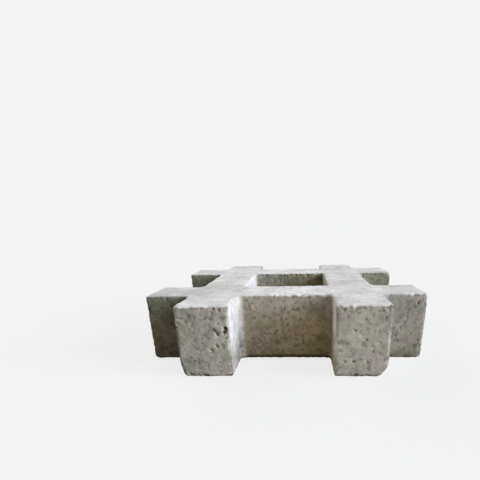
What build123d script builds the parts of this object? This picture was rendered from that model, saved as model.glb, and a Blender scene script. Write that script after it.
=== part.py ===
"""Hash-shaped concrete grass paver: four pressed bars that cross round one open grass cell.

Millimetres, +Z up. The paver lies on its bedding face, and the origin is at that face's centre.
"""

import os

from build123d import *

# Driving dimensions
cell_width = 111.0  # clear width of the middle cell, and of the bay between two arms
bar_width = 58.5
arm_length = 52.5  # how far each bar runs on past its crossings
thickness = 80.0  # from the bedding face up to the wearing face
cell_corner_radius = 3.0  # hollow round in the four corners of the cell
root_radius = 8.0  # hollow round in the twelve outer corners where two bars meet
arm_corner_radius = 3.5  # upright corners of the arm ends
arris_radius = 2.5  # round along every edge of the wearing face

# Sizes that follow from them
bar_pitch = cell_width + bar_width
bar_length = cell_width + 2 * (bar_width + arm_length)


def reach(vertex):
    """How far a corner of the outline lies from the middle, along X or Y, whichever is more."""
    return round(max(abs(vertex.X), abs(vertex.Y)), 3)


# The paver, one pressed block: a crossing pair of bars along X and a pair along Y
with BuildPart() as grass_paver:
    with BuildSketch() as outline:
        with GridLocations(0, bar_pitch, 1, 2):
            Rectangle(bar_length, bar_width)
        with GridLocations(bar_pitch, 0, 2, 1):
            Rectangle(bar_width, bar_length)
        cell_corners, roots, arm_corners = outline.vertices().group_by(reach)
        fillet(cell_corners, radius=cell_corner_radius)
        fillet(roots, radius=root_radius)
        fillet(arm_corners, radius=arm_corner_radius)
    extrude(amount=thickness)
    wearing_edges = grass_paver.edges().group_by(Axis.Z)[-1]
    fillet(wearing_edges, radius=arris_radius)

grass_paver.part.label = "grass_paver"
os.makedirs("parts", exist_ok=True)
export_step(grass_paver.part, "parts/grass_paver.step")

litres = grass_paver.part.volume / 1e6
print(f"grass_paver: {bar_length:.0f} x {bar_length:.0f} x {thickness:.0f} mm, {litres:.3f} litres")
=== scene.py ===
# %% [markdown]
# # A grass paver in pressed concrete
# The real paver is one block of stiff, dry concrete that a press shakes and squeezes in a steel mould.
# Four bars cross like a hash sign and leave a cell for grass in the middle. The CAD model already holds
# the exact block, so this lesson gives it the skin of the real thing: worn edges, chips, pits and grain.
# Everything is in metres, in the CAD model's own frame, and the block stands on the floor at z = 0.

# %% Load the frame
from itertools import product
from math import cos, pi, radians, sin

import bpy
import numpy as np
from mathutils import Matrix, Vector


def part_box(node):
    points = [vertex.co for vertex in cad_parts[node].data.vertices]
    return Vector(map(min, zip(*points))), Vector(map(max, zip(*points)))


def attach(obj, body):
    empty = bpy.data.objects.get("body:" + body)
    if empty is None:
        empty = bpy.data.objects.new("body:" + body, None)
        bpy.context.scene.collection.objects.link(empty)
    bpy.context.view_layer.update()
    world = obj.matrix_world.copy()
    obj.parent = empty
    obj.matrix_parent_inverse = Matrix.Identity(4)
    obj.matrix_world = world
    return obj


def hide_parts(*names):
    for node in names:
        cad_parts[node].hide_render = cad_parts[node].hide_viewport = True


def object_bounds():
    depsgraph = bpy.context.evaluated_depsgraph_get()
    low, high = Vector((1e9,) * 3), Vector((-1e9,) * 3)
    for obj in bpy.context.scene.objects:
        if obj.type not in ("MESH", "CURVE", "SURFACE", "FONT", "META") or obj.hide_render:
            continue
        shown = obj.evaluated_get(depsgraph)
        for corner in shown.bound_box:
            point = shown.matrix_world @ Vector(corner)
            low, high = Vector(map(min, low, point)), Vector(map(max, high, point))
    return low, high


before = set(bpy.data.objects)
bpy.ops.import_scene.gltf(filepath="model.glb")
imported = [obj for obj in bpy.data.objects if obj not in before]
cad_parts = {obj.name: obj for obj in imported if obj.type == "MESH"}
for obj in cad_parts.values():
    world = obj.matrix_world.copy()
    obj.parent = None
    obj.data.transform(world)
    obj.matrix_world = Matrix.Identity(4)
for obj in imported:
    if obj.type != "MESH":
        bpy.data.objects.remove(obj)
cad_low, cad_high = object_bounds()
mm = 0.001
scene = bpy.context.scene
print("CAD box, mm:", [round(side / mm, 1) for side in cad_high - cad_low])

# %% [markdown]
# ## The camera
# The picture was taken from close by with a wide lens, so the near arms look much larger than the far
# ones. A camera could be aimed by eye, but corners of the block were matched to the picture instead,
# which gives its place, its turn and its focal length together. The picture is trimmed so that the
# lens axis isn't in its middle, and the lens shift says so.

# %% Camera
picture_width = 480  # pixels
focal_length = 322.4  # pixels
axis_across, axis_down = 287.2, 338.6  # the pixel on the lens axis, from the top left corner
camera_place = Vector((19.93, -485.80, 159.31)) * mm
turn, dip, roll = [radians(angle) for angle in (2.68, 19.76, -1.15)]

lens = bpy.data.cameras.new("camera")
lens.lens = lens.sensor_width * focal_length / picture_width
lens.shift_x = 0.5 - axis_across / picture_width
lens.shift_y = axis_down / picture_width - 0.5
camera = bpy.data.objects.new("camera", lens)
level = Matrix.Rotation(turn, 4, "Z") @ Matrix.Rotation(pi / 2 - dip, 4, "X")
camera.matrix_world = Matrix.Translation(camera_place) @ level @ Matrix.Rotation(roll, 4, "Z")
scene.collection.objects.link(camera)
scene.camera = camera
print("focal length, mm:", round(lens.lens, 2))

# %% [markdown]
# ## Reading the block
# The walls of the block are flat, so their places can be read back from the CAD mesh: every face that
# looks straight along X lies on one of six planes, three on each side. Reading them keeps this script
# true to the CAD model if a size there changes.

# %% Walls of the block
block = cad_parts["grass_paver"].data
facing = np.empty(len(block.polygons) * 3)
face_middle = np.empty(len(block.polygons) * 3)
block.polygons.foreach_get("normal", facing)
block.polygons.foreach_get("center", face_middle)
straight = 0.999  # how much of a face's direction has to lie along X
looks_along_x = np.abs(facing[0::3]) > straight
inner_wall, outer_wall, arm_end = np.unique(np.abs(face_middle[0::3][looks_along_x]).round(4))
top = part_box("grass_paver")[1].z
bar_line = (inner_wall + outer_wall) / 2
bar_half = (outer_wall - inner_wall) / 2
print("walls at, mm:", [round(float(line) / mm, 1) for line in (inner_wall, outer_wall, arm_end, top)])

# %% [markdown]
# ## The block as a distance
# Worn concrete has no sharp corner, yet no two corners are worn alike. A Bevel modifier gives one width
# all along, so the block is described by a distance instead: a number at each point of space that is
# zero on the skin, negative inside and positive outside. Two solids are joined by taking the smaller
# distance and cut by taking the larger, and both can be done with a round of any radius, which may
# change from place to place.

# %% Joining and cutting with a round
def joined(a, b, radius):
    """Two solids in one, with a hollow round between them: where both distances are under the radius,
    the skin is a circle of that radius about the point that lies a radius from both."""
    bulge = np.hypot(np.maximum(radius - a, 0), np.maximum(radius - b, 0))
    return np.maximum(radius, np.minimum(a, b)) - bulge


def trimmed(a, b, radius):
    """What two solids share, with the edge between them rounded: the same circle, seen from inside."""
    bulge = np.hypot(np.maximum(radius + a, 0), np.maximum(radius + b, 0))
    return np.minimum(-radius, np.maximum(a, b)) + bulge


print("a sharp corner lies outside its round by, in radii:", trimmed(0.0, 0.0, 1.0).round(3))

# %% Distance to the block
root_round = 8 * mm  # hollow corners between two arms
cell_round = 3 * mm  # hollow corners of the cell


def plan_distance(points, upright):
    """Distance from the hash-shaped outline, seen from above: two bars along X and two along Y, each a
    strip cut off at the arm ends with a round called the upright, joined with hollow rounds."""
    x, y = np.abs(points[:2])
    along_y = trimmed(np.abs(x - bar_line) - bar_half, y - arm_end, upright)
    along_x = trimmed(np.abs(y - bar_line) - bar_half, x - arm_end, upright)
    in_cell = np.maximum(x, y) < bar_line
    return joined(along_x, along_y, np.where(in_cell, cell_round, root_round))


def block_distance(points, upright, arris, heel):
    """Distance from the block: the outline cut by the wearing face with a round called the arris, and
    by the floor with a round called the heel."""
    open_below = trimmed(plan_distance(points, upright), points[2] - top, arris)
    return trimmed(open_below, -points[2], heel)


def slope(distance, points, step=0.02 * mm):
    """Outward direction of the skin: how fast the distance grows along X, Y and Z."""
    rise = []
    for axis in np.eye(3):
        offset = step * axis[:, None]
        rise.append(distance(points + offset) - distance(points - offset))
    return np.array(rise) / np.linalg.norm(rise, axis=0)


bar_middle = np.array([[bar_line], [0], [top / 2]])
print("the middle of a bar lies inside by, mm:", (-block_distance(bar_middle, 0, 0, 0) / mm).round(2))

# %% [markdown]
# ## A grid on the block
# The mesh starts as a fine grid on the sharp block: lines at even steps along X, Y and Z that pass
# through every wall. A table of filled squares in plan says which squares are concrete. A filled square
# gives one face on top and one below, and a step from filled to empty gives a column of wall faces.
# Remeshing a CAD mesh would also give even faces, but it would soften the walls.

# %% Grid lines
grid_step = 1.0 * mm


def lines_through(stops):
    """Coordinates from the first stop to the last that pass through each stop, about a step apart."""
    runs = []
    for start, end in zip(stops, stops[1:]):
        runs.append(np.linspace(start, end, round((end - start) / grid_step), endpoint=False))
    return np.concatenate([*runs, stops[-1:]])


walls = np.array([inner_wall, outer_wall, arm_end])
plan_lines = lines_through(np.concatenate([-walls[::-1], walls]))
height_lines = lines_through(np.array([0, top]))
square_middles = (plan_lines[1:] + plan_lines[:-1]) / 2
in_bar = np.abs(np.abs(square_middles) - bar_line) < bar_half
filled = in_bar[:, None] | in_bar[None, :]
rows, layers = len(plan_lines), len(height_lines)
print("lines in plan:", rows, "in height:", layers, "filled squares:", filled.sum())


# %% Faces of the grid
def corner_number(i, j, k):
    """One number for each crossing of three grid lines."""
    return (i * rows + j) * layers + k


def flat_faces(k, upward):
    """A square face on each filled square of layer k, wound to look up or down."""
    i, j = np.nonzero(filled)
    ring = [(i, j, k), (i + 1, j, k), (i + 1, j + 1, k), (i, j + 1, k)]
    return np.stack([corner_number(*corner) for corner in (ring if upward else ring[::-1])], 1)


def wall_faces(axis, sign):
    """The wall faces that look along one plan axis: where a filled square is followed by an empty one,
    or with sign -1 an empty one by a filled one, a face for each height step."""
    borders = [(1, 1), (0, 0)] if axis == 0 else [(0, 0), (1, 1)]
    i, j = np.nonzero(np.diff(np.pad(filled.astype(int), borders), axis=axis) == -sign)
    k = np.tile(np.arange(layers - 1), len(i))
    i, j = np.repeat(i, layers - 1), np.repeat(j, layers - 1)
    if axis == 0:
        ring = [(i, j, k), (i, j + 1, k), (i, j + 1, k + 1), (i, j, k + 1)]
    else:
        ring = [(i, j, k), (i, j, k + 1), (i + 1, j, k + 1), (i + 1, j, k)]
    return np.stack([corner_number(*corner) for corner in (ring if sign > 0 else ring[::-1])], 1)


wall_sets = [wall_faces(axis, sign) for axis in (0, 1) for sign in (1, -1)]
faces = np.concatenate([flat_faces(layers - 1, True), flat_faces(0, False), *wall_sets])
used, faces = np.unique(faces, return_inverse=True)
faces = faces.reshape(-1, 4)
column, storey = np.divmod(used, layers)
points = np.array([plan_lines[column // rows], plan_lines[column % rows], height_lines[storey]])
print("grid points:", points.shape[1], "faces:", len(faces))

# %% [markdown]
# ## Chance that varies smoothly
# Wear is irregular, but not like dust: a crumbled stretch of edge goes over into a crisp one. Random
# numbers on a coarse lattice, blended in between, wander in that way. The seed is fixed, so that the
# same block comes out of every run.

# %% Smooth random numbers
lattice_margin = 6 * mm
lattice_low = np.array(cad_low)[:, None] - lattice_margin
lattice_size = np.array(cad_high - cad_low) + 2 * lattice_margin


def smooth_step(t):
    """Rises from 0 to 1 as t does, level at both ends: 3 t squared less 2 t cubed."""
    t = np.clip(t, 0, 1)
    return t * t * (3 - 2 * t)


def drift(points, spacing, seed):
    """Smooth random number from 0 to 1: random values on a cubic lattice, blended between the eight
    corners of the cube that a point is in."""
    scaled = (points - lattice_low) / spacing
    cube = np.floor(scaled).astype(int)
    share = smooth_step(scaled - cube)
    values = np.random.default_rng(seed).random(np.ceil(lattice_size / spacing).astype(int) + 2)
    total = 0
    for corner in product((0, 1), repeat=3):
        side = np.array(corner)[:, None]
        weight = np.where(side == 1, share, 1 - share).prod(0)
        total = total + weight * values[tuple(cube + side)]
    return total


print("a few of them:", drift(points[:, :3], 9 * mm, 11).round(2))

# %% [markdown]
# ## Worn edges and chips
# Pavers are stacked, tipped and driven over, so their edges lose sand first and their corners break
# off. The rounds along the top, along the bottom and down the arm ends wander between crisp and crumbled.
# A chip is cut by a tilted plane that meets the three edges of one corner at chosen lengths.

# %% How far the edges are worn
# Each kind of edge has a least round, and a range that the wear can add to it, in mm
arris_wear = 0.6 * drift(points, 10 * mm, 11) + 0.4 * drift(points, 4 * mm, 12)
heel_wear = 0.5 * drift(points, 8 * mm, 13) + 0.5 * drift(points, 3.2 * mm, 14)
upright_wear = 0.6 * drift(points, 9 * mm, 16) + 0.4 * drift(points, 4 * mm, 17)
least_arris, arris_range = 1.2, 3.4
least_heel, heel_range = 0.7, 2.8
least_upright, upright_range = 1.4, 3.2
arris = (least_arris + arris_range * arris_wear**1.5) * mm
heel = (least_heel + heel_range * heel_wear**2) * mm
upright = (least_upright + upright_range * upright_wear**1.5) * mm
crumble = 2.0 * mm * (drift(points, 3.5 * mm, 15) - 0.5)  # how rough a fresh break is
for name, rounds in (("upright", upright), ("arris", arris), ("heel", heel)):
    print(name, "mm:", (rounds.min() / mm).round(2), "to", (rounds.max() / mm).round(2))

# %% Chips
# Each chip: the corner that broke off, and how far the break runs along x, y and z in mm
chip_list = [
    ((outer_wall, -arm_end, 0), (9.0, 16.0, 14.0)),
    ((-outer_wall, -arm_end, 0), (6.5, 9.0, 20.0)),
    ((-arm_end, outer_wall, 0), (10.0, 7.0, 9.0)),
    ((inner_wall, arm_end, top), (6.0, 9.0, 5.0)),
    ((arm_end, -inner_wall, 0), (7.0, 5.0, 6.0)),
    ((arm_end, -outer_wall, top), (6.0, 7.0, 5.5)),
    ((-outer_wall, -arm_end, top), (4.5, 5.5, 4.5)),
    ((arm_end, -outer_wall, 0), (4.5, 5.0, 4.0)),
    ((-arm_end, -outer_wall, 0), (3.5, 5.0, 4.0)),
    ((arm_end, inner_wall, top), (8.0, 8.0, 7.0)),
    ((-outer_wall, arm_end, 0), (6.0, 8.0, 12.0)),
]


def chip_distance(points, corner, runs):
    """Distance past a break plane: one less the sum of the ways from the corner, each measured in the
    run along its edge, and divided by the slope of that sum."""
    ways = np.abs(points - corner) / runs
    return (1 - ways.sum(0)) / np.linalg.norm(1 / runs)


print("chips:", len(chip_list))

# %% [markdown]
# ## Sliding the grid onto the worn block
# Each grid point slides by Newton's rule: go back along the slope by the distance that is left. A few
# rounds bring every point onto the skin. First the whole grid slides onto the block with worn edges,
# then the points round each chip slide on to the break.

# %% Slide
def slid(points, distance, rounds=5):
    """Points on the skin where the distance is zero, and the outward direction at each."""
    for _ in range(rounds):
        points = points - slope(distance, points) * distance(points)
    return points, slope(distance, points)


points, outward = slid(points, lambda place: block_distance(place, upright, arris, heel))
chip_round = 1.5 * mm
chip_reach = 1.5  # points may move that are nearer to the corner than this, measured in runs
for corner, runs in chip_list:
    corner, runs = np.array(corner)[:, None], np.array(runs)[:, None] * mm
    near = (np.abs(points - corner) < chip_reach * runs).all(0)

    def chipped(place):
        """Distance from the worn block, cut by the rough plane of this chip."""
        whole = block_distance(place, upright[near], arris[near], heel[near])
        return trimmed(whole, chip_distance(place, corner, runs) + crumble[near], chip_round)

    points[:, near], outward[:, near] = slid(points[:, near], chipped)
    print("chip at, mm:", (corner.ravel() / mm).round(), "points:", near.sum())

# %% [markdown]
# ## What each place went through
# The press plate trowelled the wearing face. The walls that look towards the window lamp are picked out,
# because painted light and shade follow them. Sand breaks out first near the edges. Each of these could be
# painted by hand, but here it follows from where a point lies and which way it looks: an amount from 0 to
# 1, for all points at once.

# %% Trowelled, facing the window and near an edge
# Walls that look along +X, towards the window lamp
window_side = smooth_step(2 * outward[0])
trowelled = smooth_step((outward[2] - 0.1) / 0.8) * (1 - window_side)
inside = plan_distance(points, upright)
to_edge = np.minimum(np.hypot(inside, points[2] - top), np.hypot(inside, points[2]))
plan_x, plan_y = np.abs(points[:2])
to_corner = np.full(len(plan_x), np.inf)
for wall in (inner_wall, outer_wall):
    to_corner = np.minimum(to_corner, np.hypot(plan_x - wall, plan_y - arm_end))
    to_corner = np.minimum(to_corner, np.hypot(plan_y - wall, plan_x - arm_end))
edge_width = 5 * mm
near_edge = smooth_step(1 - np.minimum(to_edge, to_corner) / edge_width)
print("share trowelled:", trowelled.mean().round(2), "near an edge:", near_edge.mean().round(3))

# %% [markdown]
# ## Earth, painted light and painted shade
# The walls between the arms and in the cell keep a warm film that is partly earth and partly painted shade
# and is thickest low down. As painted shade they darken towards their foot, down to a painted contact
# shadow. Pale patches are painted light: the highlight where the window lamp falls, and light thrown back
# into the bays; the palest on walls that look at the window are painted a little blue. Darker patches are
# painted shade, and a green tint on shaded walls is partly algae and partly painted shade. A texture would
# put these anywhere, so they are worked out here for each point, and the material reads them from the mesh.

# %% Film of earth and painted shade
# A warm film, partly earth and partly painted shade in the recesses. It thins out towards the arm ends,
# towards the top and in the four outer corners, and stays off walls that look at the window
arm_run = arm_end - outer_wall
reach = np.maximum(plan_x, plan_y)
top_loss, corner_share = 0.5, 0.4
earth_and_painted_shade = smooth_step((arm_end - reach) / arm_run) ** 4 * (1 - window_side)
earth_and_painted_shade = earth_and_painted_shade * (1 - top_loss * smooth_step(2 * points[2] / top - 1))
in_outer_corner = np.minimum(plan_x, plan_y) > bar_line
earth_and_painted_shade = earth_and_painted_shade * np.where(in_outer_corner, corner_share, 1)
# Painted shade: the foot grows from 0 near the top to 1 at the floor, on walls that are set back from the
# arm ends and don't look at the window, and the material paints these walls darker by it
foot_top = 0.9 * top
wall_line = np.abs((points[:2] * outward[:2]).sum(0))
set_back = smooth_step((arm_end - wall_line) / arm_run) * (1 - window_side)
foot_shade = set_back * np.clip(1 - points[2] / foot_top, 0, 1)
print("share under the film:", earth_and_painted_shade.mean().round(2), "foot:", foot_shade.mean().round(2))

# %% Patches of lime and of damp
up, left, right, front = (0, 0, 1), (-1, 0, 0), (1, 0, 0), (0, -1, 0)


def patch(middle, way, extent):
    """How much of a patch each point has, from 0 to 1: all of it within half the extent from the middle,
    less further out, and none on walls that look another way. The extent is one length, or one each
    along X, Y and Z. Lengths in mm."""
    ways = (points / mm - np.array(middle)[:, None]) / np.reshape(extent, (-1, 1))
    away = np.linalg.norm(ways, axis=0)
    looks_there = smooth_step((np.array(way) @ outward - 0.1) / 0.5)
    return looks_there * smooth_step((1 - away) / 0.5)


# Each: the middle, the way the wall looks, the extent, and how pale the patch is; under 1 it is darker.
# On the walls the pale patches are painted light and the darker ones painted shade
patch_list = [
    # On the wearing face the patches only make it paler or darker in places
    ((0, -85, 80), up, 75, 1.14),
    ((-130, -95, 80), up, 65, 0.88),
    ((85, -155, 80), up, 45, 1.06),
    ((0, 85, 80), up, 75, 1.12),
    # Painted light on the inner wall of the right front arm, as if thrown back from the lit wall across the
    # bay
    ((55, -152, 22), left, (60, 36, 60), 1.95),
    ((55, -117, 36), left, (60, 18, 90), 1.2),
    # Painted shade and painted light on the front bar
    ((-48, -114, 38), front, 44, 0.83),
    ((54, -114, 6), front, 34, 0.86),
    ((6, -114, 40), front, 42, 1.16),
    # Painted highlight where the window lamp falls on walls that look at it
    ((-55, -144, 60), right, 49, 1.45),
    ((-55, 0, 62), right, 75, 1.62),
    # Painted shade on walls in the shade
    ((55, 0, 65), left, 70, 0.78),
    ((-142, -114, 80), front, 42, 0.68),
    ((-140, 55, 65), front, 60, 0.82),
]
bright_patch_limit = 1.2  # above this paleness, a patch of painted light also hides the film and lightens the painted shade in most voids
bright_patch_fill = 0.7
corner_dimming, corner_width = 0.45, 4 * mm  # painted shade: corners that look at the window are darkened by this share, which dims their highlight
painted_light_and_shade = np.ones(points.shape[1])
void_shade_share = np.ones(points.shape[1])
# Pale patches paint light and darker ones paint shade onto the colour
for *where, paleness in patch_list:
    covered = patch(*where)
    painted_light_and_shade = painted_light_and_shade * (1 + (paleness - 1) * covered)
    if paleness > bright_patch_limit:
        earth_and_painted_shade = earth_and_painted_shade * (1 - covered)
        void_shade_share = void_shade_share * (1 - bright_patch_fill * covered)
dimmed_window_corner = window_side * smooth_step(1 - to_corner / corner_width)
painted_light_and_shade = painted_light_and_shade * (1 - corner_dimming * dimmed_window_corner)
# Painted highlight: where the pale patches are palest on walls that look at the window, the colour turns a
# little blue
blue_highlight = smooth_step((painted_light_and_shade - bright_patch_limit) / 0.2) * window_side
print("lime from", painted_light_and_shade.min().round(2), "to", painted_light_and_shade.max().round(2))

# %% Algae and green shade
# Some walls that look to the front lie in the shade and are tinted a little green, partly algae and
# partly painted shade
# Each: the middle and the extent, in mm
algae_and_shade_list = [
    ((-140, 55, 60), 75),
    ((140, 55, 60), 75),
    ((55, 55, 45), 80),
    ((-150, -114, 70), 85),
    ((54, -114, 24), 44),
]
algae_and_shade = np.zeros(points.shape[1])
for middle, extent in algae_and_shade_list:
    algae_and_shade = np.maximum(algae_and_shade, patch(middle, front, extent))
print("share with algae:", algae_and_shade.mean().round(3))

# %% [markdown]
# ## Voids between the grains
# Dry concrete doesn't flow, so voids stay open where grains meet. Small ones are ragged and close together:
# they lie where a smooth random number runs high. Large ones are few and deeper. For them, grains are
# scattered through space, and a point that is far from every grain lies in a void. The trowelled face has
# few of either, and the edges have more. The edges also lose nicks, where another such number runs high.

# %% Distance to the nearest grain
def nearest_grain(points, spacing, seed):
    """Distance to the nearest grain, in spacings. Space is cut into cubes with one grain at a random
    place in each, and the nearest of the 27 grains round a point counts."""
    rng = np.random.default_rng(seed)
    place = rng.random((3, *(np.ceil(lattice_size / spacing).astype(int) + 3)))
    scaled = (points - lattice_low) / spacing + 1
    cube = np.floor(scaled).astype(int)
    nearest = np.full(points.shape[1], np.inf)
    for step in product((-1, 0, 1), repeat=3):
        near = cube + np.array(step)[:, None]
        gap = scaled - near - place[(slice(None), *near)]
        nearest = np.minimum(nearest, np.einsum("ij,ij->j", gap, gap))
    return np.sqrt(nearest)


def raggedness(points, spacing, seeds):
    """A random way to go from each point, up to half a spacing along X, Y and Z."""
    return spacing * (np.array([drift(points, spacing, seed) for seed in seeds]) - 0.5)


rim_spacing, rim_pull = 1.8 * mm, 0.8
ragged_points = points + rim_pull * raggedness(points, rim_spacing, (21, 22, 23))
print("rims are pulled aside by up to, mm:", (np.abs(ragged_points - points).max() / mm).round(2))

# %% Small voids, large voids and nicks
# The limits say how loose a point has to be, or how far from every grain, before a void opens
dryness = 0.35 * drift(points, 22 * mm, 53) + 0.65 * drift(points, 9 * mm, 54)
looseness = 0.55 * drift(ragged_points, 3.2 * mm, 37) + 0.45 * drift(ragged_points, 2.1 * mm, 38)
small_limit = 0.625 - 0.10 * dryness - 0.05 * near_edge - 0.03 * earth_and_painted_shade + 0.15 * trowelled
small_voids = smooth_step((looseness - small_limit) / 0.16)
large_limit = 0.92 - 0.12 * near_edge + 0.25 * trowelled
grain_spacing = 8 * mm
large_voids = smooth_step((nearest_grain(ragged_points, grain_spacing, 32) - large_limit) / 0.12)
nicks = near_edge**2 * smooth_step((drift(points, 3.4 * mm, 61) - 0.5) / 0.25)
for name, amount in (("small voids", small_voids), ("large voids", large_voids), ("nicks", nicks)):
    print(name, "share of the skin:", (amount > 0.5).mean().round(4))

# %% How deep they go, and how dark they are painted as painted shade
small_depth, large_depth, nick_depth = 0.3, 1.5, 1.3  # mm
sunk = np.maximum(small_depth * small_voids, large_depth * large_voids)
sunk = np.maximum(sunk, nick_depth * nicks) * mm
small_darkness = 0.38 + 0.36 * smooth_step((dryness - 0.25) / 0.5)  # painted shade in the small voids, darker where the mix was dry
void_painted_shade = np.maximum(small_darkness * small_voids, large_voids) * void_shade_share
print("mean depth, mm:", (sunk.mean() / mm).round(3), "mean darkness:", void_painted_shade.mean().round(3))

# %% [markdown]
# ## Marks of this block
# Some marks are large enough to be known by their place: a hole where a stone fell out of an arm end,
# the crack round a stone beside it, and notches in the edges. Each is a hollow in the arm ends, in the
# front bar or in the far wall of the cell, longer than wide, turned by an angle and torn at the rim. They
# could be cut with a Boolean modifier, but sinking the points keeps the even grid.

# %% Named marks
# Each: x and z of its middle, half its length and half its width, turn in degrees, depth; lengths in mm
arm_marks = [
    (-72.3, 53.8, 3.0, 1.4, -78, 2.2),
    (-69.6, 49.8, 3.2, 1.3, -40, 2.0),
    (-59.9, 54.8, 3.4, 2.6, 60, 3.6),
    (-61.6, 51.8, 2.8, 2.2, 40, 3.4),
    (-70.3, 36.6, 2.8, 1.5, -40, 1.8),
    (-77.2, 31.3, 2.4, 1.6, 20, 1.2),
    (-94.6, 41.4, 2.6, 1.5, 10, 0.8),
    (-71.3, 77.0, 2.2, 1.5, 90, 1.3),
    (-65.7, 76.5, 2.6, 1.7, 60, 1.2),
    (-109.8, 60.2, 2.6, 1.8, 0, 0.9),
    (-97.9, 18.1, 2.8, 1.6, 0, 0.7),
    (-85.6, 0.8, 5.0, 2.0, 0, 2.0),
    (63.4, 75.6, 2.6, 1.8, 70, 1.2),
    (107.3, 66.5, 2.2, 1.5, 60, 0.9),
    (74.9, 52.4, 2.8, 1.4, -30, 0.9),
    (87.6, 42.6, 2.2, 1.6, 60, 0.8),
    (65.6, 17.9, 2.6, 1.6, 60, 0.9),
    (75.7, 17.8, 3.0, 1.6, -30, 1.0),
    (91.1, 15.7, 3.4, 1.5, -35, 1.0),
    (78.2, 0.8, 3.2, 1.8, 0, 1.8),
    (92.0, 0.6, 5.0, 1.6, 0, 2.0),
]
bar_marks = [
    (-11.5, 54.7, 4.0, 1.3, 12, 0.9),
    (9.3, 63.3, 2.2, 1.7, 30, 0.9),
    (-11.9, 20.1, 4.2, 1.3, -48, 0.8),
    (-7.6, 78.4, 2.2, 1.6, 60, 1.2),
    (-0.6, 0.8, 4.5, 2.2, 0, 2.6),
]
cell_marks = [
    (-45.7, 77.5, 2.2, 1.8, 20, 1.4),
    (-36.9, 77.5, 2.0, 1.6, 0, 1.4),
    (-27.1, 77.0, 2.4, 1.8, -20, 1.4),
    (-14.1, 77.5, 2.2, 1.8, 30, 1.6),
    (-9.3, 76.0, 2.0, 1.6, 0, 1.4),
    (-3.4, 75.0, 2.4, 1.6, 40, 1.4),
    (2.6, 78.0, 2.2, 1.8, 60, 1.6),
    (11.4, 77.0, 2.0, 1.8, 0, 1.4),
    (16.9, 78.0, 2.4, 1.8, -30, 1.6),
    (21.5, 77.0, 2.0, 1.6, 0, 1.6),
    (31.0, 77.5, 4.4, 2.2, -5, 1.8),
]


def mark(points, wall, row):
    """How deep in a mark each point lies, from 0 outside to 1: the distance from its middle, measured
    in half lengths along it, in half widths across it and in half lengths out of the wall."""
    x, z, half_length, half_width, degrees, _ = row
    beside, out, above = points / mm - np.array([[x], [wall / mm], [z]])
    lean = radians(degrees)
    along = cos(lean) * beside + sin(lean) * above
    aside = cos(lean) * above - sin(lean) * beside
    away = np.sqrt((along / half_length) ** 2 + (aside / half_width) ** 2 + (out / half_length) ** 2)
    return smooth_step((1 - away) / 0.5)


tear_spacing, tear_pull = 4.5 * mm, 0.6
torn_points = ragged_points + tear_pull * raggedness(points, tear_spacing, (24, 25, 26))
for wall, rows_of_marks in ((-arm_end, arm_marks), (-outer_wall, bar_marks), (inner_wall, cell_marks)):
    for row in rows_of_marks:
        depth = row[-1]
        hollow = mark(torn_points, wall, row)
        sunk = np.maximum(sunk, depth * mm * hollow)
        darkness = 0.6 + 0.11 * depth  # painted shade: a deeper mark is painted darker
        void_painted_shade = np.maximum(void_painted_shade, hollow * darkness)
print("named marks:", len(arm_marks + bar_marks + cell_marks), "deepest, mm:", (sunk.max() / mm).round(2))

# %% Press them in
# The walls also swell and sink by a fraction of a millimetre, as a mould's walls do. All of it goes
# inward, so the block never outgrows the CAD model, and the bedding face stays level.
swell = 0.2 * drift(points, 26 * mm, 41) + 0.2 * drift(points, 7 * mm, 42)
straight_down = -0.99
on_bed = outward[2] < straight_down
points = points - outward * np.where(on_bed, 0, sunk + swell * mm)
print("lowest and highest point, mm:", (points.min(1) / mm).round(2), (points.max(1) / mm).round(2))


# %% [markdown]
# ## Into a mesh
# The even grid spends as many faces on a flat stretch as on a pit. The Decimate modifier thins it out
# where it is flat, and the result is kept as an ordinary mesh. The amounts of earth, painted light and
# shade and the rest go along as attributes of its points.

# %% Mesh
def mesh_from(name, points, faces):
    """A mesh of four-sided faces from arrays of points and of point numbers."""
    mesh = bpy.data.meshes.new(name)
    mesh.vertices.add(points.shape[1])
    mesh.vertices.foreach_set("co", points.T.astype(np.float32).ravel())
    mesh.loops.add(faces.size)
    mesh.loops.foreach_set("vertex_index", faces.ravel().astype(np.int32))
    mesh.polygons.add(len(faces))
    mesh.polygons.foreach_set("loop_start", np.arange(0, faces.size, 4, dtype=np.int32))
    mesh.update(calc_edges=True)
    return mesh


triangle_limit = 190_000
dense_mesh = mesh_from("dense_grid", points, faces)
carried_amounts = {
    "void_painted_shade": void_painted_shade,
    "trowelled": trowelled,
    "earth_and_painted_shade": earth_and_painted_shade,
    "foot_shade": foot_shade,
    "painted_light_and_shade": painted_light_and_shade,
    "blue_highlight": blue_highlight,
    "algae_and_shade": algae_and_shade,
}
for name, values in carried_amounts.items():
    dense_mesh.attributes.new(name, "FLOAT", "POINT").data.foreach_set("value", values.astype(np.float32))
dense = bpy.data.objects.new("dense_grid", dense_mesh)
scene.collection.objects.link(dense)
thinning = dense.modifiers.new("thinning", "DECIMATE")
thinning.ratio = triangle_limit / (2 * len(faces))
thinned = dense.evaluated_get(bpy.context.evaluated_depsgraph_get())
skin = bpy.data.meshes.new_from_object(thinned)
bpy.data.objects.remove(dense)
skin.name = "grass_paver_skin"
skin.polygons.foreach_set("use_smooth", np.ones(len(skin.polygons), bool))
paver = bpy.data.objects.new("grass_paver_skin", skin)
scene.collection.objects.link(paver)
print("faces:", len(skin.polygons), "triangles:", len(skin.loops) - 2 * len(skin.polygons))

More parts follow.
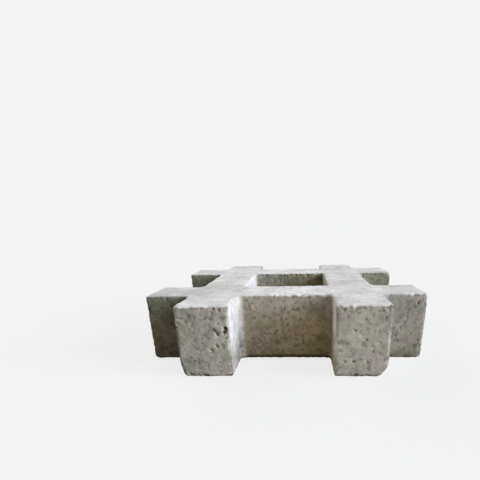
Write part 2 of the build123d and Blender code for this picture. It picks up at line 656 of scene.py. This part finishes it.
# %% [markdown]
# ## Concrete
# Concrete is sand and stone held by grey cement. Its colour wanders from patch to patch with the damp in
# the mix, and single grains are paler or darker. Pits are painted dark, as painted shade. The press plate
# draws a skin of pale cement over the wearing face, which is painted paler still as painted light from
# above. All of it is procedural and reads Object coordinates or the amounts that the mesh carries, so the
# pattern is fixed to the block. Small helpers keep the node tree readable.


# %% Helpers for nodes
def connect(tree, value, socket):
    """Links a socket to a socket, or sets the socket to a plain value."""
    if isinstance(value, bpy.types.NodeSocket):
        tree.links.new(value, socket)
    elif socket.type == "RGBA":
        socket.default_value = (*value, 1)
    else:
        socket.default_value = value


def add_node(tree, kind, inputs=None, **settings):
    """A new node with its settings and its inputs, each by name or number."""
    made = tree.nodes.new("ShaderNode" + kind)
    for name, value in settings.items():
        setattr(made, name, value)
    for name, value in (inputs or {}).items():
        connect(tree, value, made.inputs[name])
    return made


def colours_along(tree, amount, stops):
    """Colours that follow an amount from 0 to 1, given as places and colours."""
    made = add_node(tree, "ValToRGB", {"Fac": amount})
    elements = made.color_ramp.elements
    for number, (place, colour) in enumerate(stops):
        stop = elements[number] if number < 2 else elements.new(place)
        stop.position = place
        stop.color = (*colour, 1)
    return made.outputs["Color"]


def stretched(tree, amount, low, high, to_low=0.0, to_high=1.0):
    """Stretches the range from low to high onto another range, held at its ends."""
    ends = {"From Min": low, "From Max": high, "To Min": to_low, "To Max": to_high}
    return add_node(tree, "MapRange", {"Value": amount, **ends}).outputs["Result"]


def sums(tree, operation, a, b):
    """One amount made of two: their sum, their product or the larger, as the operation says."""
    return add_node(tree, "Math", {0: a, 1: b}, operation=operation).outputs[0]


def scaled(tree, colour, amount):
    """A colour or a vector times an amount."""
    return add_node(tree, "VectorMath", {0: colour, "Scale": amount}, operation="SCALE").outputs[0]


def laid_over(tree, under, over, amount, blend="MIX"):
    """One colour laid over another by an amount."""
    made = add_node(tree, "Mix", data_type="RGBA", blend_type=blend, clamp_factor=True)
    for socket, value in zip((made.inputs[0], made.inputs[6], made.inputs[7]), (amount, under, over)):
        connect(tree, value, socket)
    return made.outputs[2]


def noise(tree, place, scale, detail=2.0, roughness=0.5):
    """A noise texture's amount and colour at a scale in waves per metre."""
    inputs = {"Vector": place, "Scale": scale, "Detail": detail, "Roughness": roughness}
    return add_node(tree, "TexNoise", inputs)


concrete = bpy.data.materials.new("pressed_concrete")
concrete.use_nodes = True
tree = concrete.node_tree
shader = tree.nodes["Principled BSDF"]
place = add_node(tree, "TexCoord").outputs["Object"]
print("material:", concrete.name)

# %% Paste
# Patches of paste lean towards olive or rose, and their tone wanders at every scale down to the sand
hue = noise(tree, place, 50.0, 2.0, 0.6).outputs["Fac"]
olive, grey, rosy = (0.385, 0.38, 0.325), (0.41, 0.395, 0.355), (0.435, 0.40, 0.37)
paste = colours_along(tree, hue, [(0.35, olive), (0.65, rosy), (0.5, grey)])
mottle = noise(tree, place, 45.0, 4.0, 0.85).outputs["Fac"]
tone = stretched(tree, mottle, 0.3, 0.7, 0.72, 1.28)
blotches = noise(tree, place, 105.0, 1.0).outputs["Fac"]
tone = sums(tree, "MULTIPLY", tone, stretched(tree, blotches, 0.3, 0.7, 0.85, 1.15))
sides = scaled(tree, paste, tone)
print("nodes for the paste:", len(tree.nodes))

# %% Sand
# Single grains of about 2.5 mm, paler or darker than the paste
grains_per_metre = 400.0
wobble_size, mid_grey = 2.2 * mm, (0.5, 0.5, 0.5)
wobble = noise(tree, place, 700.0).outputs["Color"]
wobble = add_node(tree, "VectorMath", {0: wobble, 1: mid_grey}, operation="SUBTRACT").outputs[0]
wobble = scaled(tree, wobble, wobble_size)
ragged_place = add_node(tree, "VectorMath", {0: place, 1: wobble}, operation="ADD").outputs[0]
sand = add_node(tree, "TexVoronoi", {"Vector": ragged_place, "Scale": grains_per_metre})
chance = add_node(tree, "SeparateColor", {"Color": sand.outputs["Color"]}).outputs
pale_grain, dark_grain = (0.56, 0.54, 0.49), (0.22, 0.20, 0.17)
grain_strength = 0.2
pale_here = stretched(tree, chance["Green"], 0.88, 0.94, 0.0, grain_strength)
dark_here = stretched(tree, chance["Blue"], 0.90, 0.95, 0.0, grain_strength)
sides = laid_over(tree, sides, pale_grain, pale_here)
sides = laid_over(tree, sides, dark_grain, dark_here)
print("sand, mm:", round(1 / (grains_per_metre * mm), 2))

# %% Earth and painted shade on the walls
# The film, partly earth and partly painted shade, tints the walls, and a tint that is partly algae and
# partly painted shade turns some a little green. As painted shade they darken towards their foot, down to a
# painted contact shadow, and a thin painted contact shadow runs along the bottom where the block stands
def carried(name):
    """An amount that the mesh carries from point to point."""
    return add_node(tree, "Attribute", attribute_name=name).outputs["Fac"]


earth_and_shade_tint, foot_shade_tint, contact_shadow_tint = (1.03, 0.965, 0.79), (0.75, 0.72, 0.65), (0.22, 0.20, 0.17)
algae_and_shade_tint, floor_contact_tint = (0.98, 1.0, 0.82), (0.45, 0.43, 0.38)
height_here = add_node(tree, "SeparateXYZ", {"Vector": ragged_place}).outputs["Z"]
floor_contact_shadow = stretched(tree, height_here, 3.0 * mm, 0.5 * mm)
sides = laid_over(tree, sides, earth_and_shade_tint, carried("earth_and_painted_shade"), "MULTIPLY")
foot_shade_here = carried("foot_shade")
sides = laid_over(tree, sides, foot_shade_tint, foot_shade_here, "MULTIPLY")
contact_shadow = sums(tree, "MULTIPLY", stretched(tree, foot_shade_here, 0.925, 0.95), carried("earth_and_painted_shade"))
sides = laid_over(tree, sides, contact_shadow_tint, contact_shadow, "MULTIPLY")
sides = laid_over(tree, sides, algae_and_shade_tint, carried("algae_and_shade"), "MULTIPLY")
sides = laid_over(tree, sides, floor_contact_tint, floor_contact_shadow, "MULTIPLY")
print("nodes with the earth:", len(tree.nodes))

# %% Pale skin of the wearing face, painted paler as painted light from above
# The wearing face is a pale cement skin, painted paler still as painted light from above. The skin ends on
# the worn arris, where the press plate no longer touched the concrete. Pale patches are painted light and
# darker ones painted shade, and the painted blue highlight adds a little blue
on_top = carried("trowelled")
clouds = noise(tree, place, 32.0, 4.0, 0.8).outputs["Fac"]
dull_cement, bright_cement, blue_highlight_tint = (0.47, 0.455, 0.435), (0.90, 0.88, 0.85), (0.99, 1.0, 1.07)
cement_and_top_light = colours_along(tree, clouds, [(0.28, dull_cement), (0.72, bright_cement)])
colour = laid_over(tree, sides, cement_and_top_light, on_top)
colour = scaled(tree, colour, carried("painted_light_and_shade"))
colour = laid_over(tree, colour, blue_highlight_tint, carried("blue_highlight"), "MULTIPLY")
print("nodes with the pale skin:", len(tree.nodes))

# %% Dark voids, painted shade
# The voids are painted dark as painted shade. Their rims are torn by a fine noise, and the deepest of them
# are painted almost black
open_here = carried("void_painted_shade")
void_shade, deep_shade = (0.11, 0.10, 0.08), (0.02, 0.018, 0.014)
torn = stretched(tree, noise(tree, place, 500.0, 1.5, 0.6).outputs["Fac"], 0.3, 0.7, -0.15, 0.15)
rim = stretched(tree, sums(tree, "ADD", open_here, torn), 0.06, 0.68, 0.0, 0.6)
colour = laid_over(tree, colour, void_shade, rim)
colour = laid_over(tree, colour, deep_shade, stretched(tree, open_here, 0.8, 1.0))
connect(tree, colour, shader.inputs["Base Color"])
print("nodes with the voids:", len(tree.nodes))

# %% Relief and gloss
fine = noise(tree, place, 900.0, 3.0).outputs["Fac"]
relief = sums(tree, "MULTIPLY", fine, stretched(tree, on_top, 0.0, 1.0, 1.0, 0.35))
bump = add_node(tree, "Bump", {"Height": relief, "Strength": 0.22, "Distance": 0.3 * mm})
connect(tree, bump.outputs["Normal"], shader.inputs["Normal"])
connect(tree, stretched(tree, mottle, 0.3, 0.7, 0.95, 0.82), shader.inputs["Roughness"])
shader.inputs["Specular IOR Level"].default_value = 0.3
skin.materials.clear()
skin.materials.append(concrete)
print("nodes in the concrete:", len(tree.nodes))

# %% [markdown]
# ## The skin stands for the block
# The skin moves with the block's body and hides the CAD solid, which stays behind for collisions. The
# solid could also have been painted itself, but its edges are too even for a used paver.

# %% Ride and replace
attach(paver, "root")
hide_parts("grass_paver")
print(paver.name, "rides on root and stands for grass_paver")

# %% [markdown]
# ## Light
# A large window on the right lights the block, low enough to leave the front faces in half shade. A long
# card stands close in front of the arms and brightens what is near it, so that walls further back fall
# off. It lights the block only, because so near the floor it would leave a bright spot there. A lamp from
# the rear left keeps the far sides from going black. The window is a little blue, the others are warm.


# %% Lamps
def place_lamp(lamp, place, shines):
    """Puts a lamp in the scene at a place, shining along a direction, and gives its object."""
    holder = bpy.data.objects.new(lamp.name, lamp)
    holder.location = place
    holder.rotation_euler = shines.to_track_quat("-Z", "Y").to_euler()
    holder.visible_camera = False
    scene.collection.objects.link(holder)
    return holder


def add_sun(name, elevation, around, energy, spread, colour):
    """A sun at an elevation, turned around from +X towards -Y, in degrees."""
    lamp = bpy.data.lights.new(name, "SUN")
    lamp.energy = energy
    lamp.angle = radians(spread)
    lamp.color = colour
    rise, bearing = radians(elevation), radians(around)
    towards = Vector((cos(rise) * cos(bearing), -cos(rise) * sin(bearing), sin(rise)))
    place_lamp(lamp, Vector((0, 0, 0)), -towards)


add_sun("window", elevation=20, around=13, energy=4.8, spread=45, colour=(0.93, 1.0, 1.12))
add_sun("rear_fill", elevation=25, around=-135, energy=2.4, spread=60, colour=(1.04, 1.0, 0.93))
print("suns:", [light.name for light in bpy.data.lights])

# %% Card
card = bpy.data.lights.new("card", "AREA")
card.shape = "RECTANGLE"
card.size, card.size_y = 0.3, 0.1
card.energy = 0.165
card.color = (1.1, 1.0, 0.85)
card_place = Vector((0.048, -0.36, 0.052))
card_target = Vector((0.02, -0.1, 0.04))
card_holder = place_lamp(card, card_place, card_target - card_place)
lit_by_card = bpy.data.collections.new("lit_by_card")
lit_by_card.objects.link(paver)
card_holder.light_linking.receiver_collection = lit_by_card
print("card, m:", round(card.size, 2), "x", round(card.size_y, 2))

# %% [markdown]
# ## Backdrop and floor
# The backdrop is a pale paper. Only the eye and reflections see it as pale: for all other light it is
# dim, so that it doesn't wash out the shade on the block. The floor is the same paper, and it keeps
# the shadow of the block.


# %% Backdrop
def seen_or_lit(tree, dim, pale):
    """The pale shader for rays that see it straight, mirrored or through glass, and the dim one for
    all other light."""
    rays = add_node(tree, "LightPath").outputs
    seen = sums(tree, "MAXIMUM", rays["Is Camera Ray"], rays["Is Glossy Ray"])
    seen = sums(tree, "MAXIMUM", seen, rays["Is Transmission Ray"])
    return add_node(tree, "MixShader", {0: seen, 1: dim, 2: pale}).outputs[0]


paper = 0.896  # renders as a very light grey
world = scene.world or bpy.data.worlds.new("world")
scene.world = world
world.use_nodes = True
world_tree = world.node_tree
world_tree.nodes.clear()
dim_colour, dim_strength = (1.1, 1.0, 0.8), 0.03
dim_air = add_node(world_tree, "Background", {"Color": dim_colour, "Strength": dim_strength}).outputs[0]
pale_air = add_node(world_tree, "Background", {"Color": (paper, paper, paper), "Strength": 1.0}).outputs[0]
add_node(world_tree, "OutputWorld", {"Surface": seen_or_lit(world_tree, dim_air, pale_air)})
print("backdrop:", paper)

# %% Floor
half, floor_height = 60.0, -0.2 * mm
corners = [(x * half, y * half, floor_height) for x, y in ((-1, -1), (1, -1), (1, 1), (-1, 1))]
floor_mesh = bpy.data.meshes.new("floor")
floor_mesh.from_pydata(corners, [], [(0, 1, 2, 3)])
floor = bpy.data.objects.new("floor", floor_mesh)
scene.collection.objects.link(floor)

floor_paint = bpy.data.materials.new("floor_paper")
floor_paint.use_nodes = True
floor_tree = floor_paint.node_tree
floor_tree.nodes.clear()
glow, shade = 0.795, 0.118  # the glow is what the shadow leaves, the rest is lit
glowing = add_node(floor_tree, "Emission", {"Color": (glow, glow, glow)}).outputs[0]
shaded = add_node(floor_tree, "BsdfDiffuse", {"Color": (shade, shade, shade)}).outputs[0]
pale_floor = add_node(floor_tree, "AddShader", {0: glowing, 1: shaded}).outputs[0]
dim_paper = (0.12, 0.11, 0.09)
dim_floor = add_node(floor_tree, "BsdfDiffuse", {"Color": dim_paper}).outputs[0]
add_node(floor_tree, "OutputMaterial", {"Surface": seen_or_lit(floor_tree, dim_floor, pale_floor)})
floor_mesh.materials.append(floor_paint)
print("floor:", 2 * half, "m square")

# %% [markdown]
# ## Finish
# The plain view transform shows colours as they are.

# %% View transform
scene.view_settings.view_transform = "Standard"
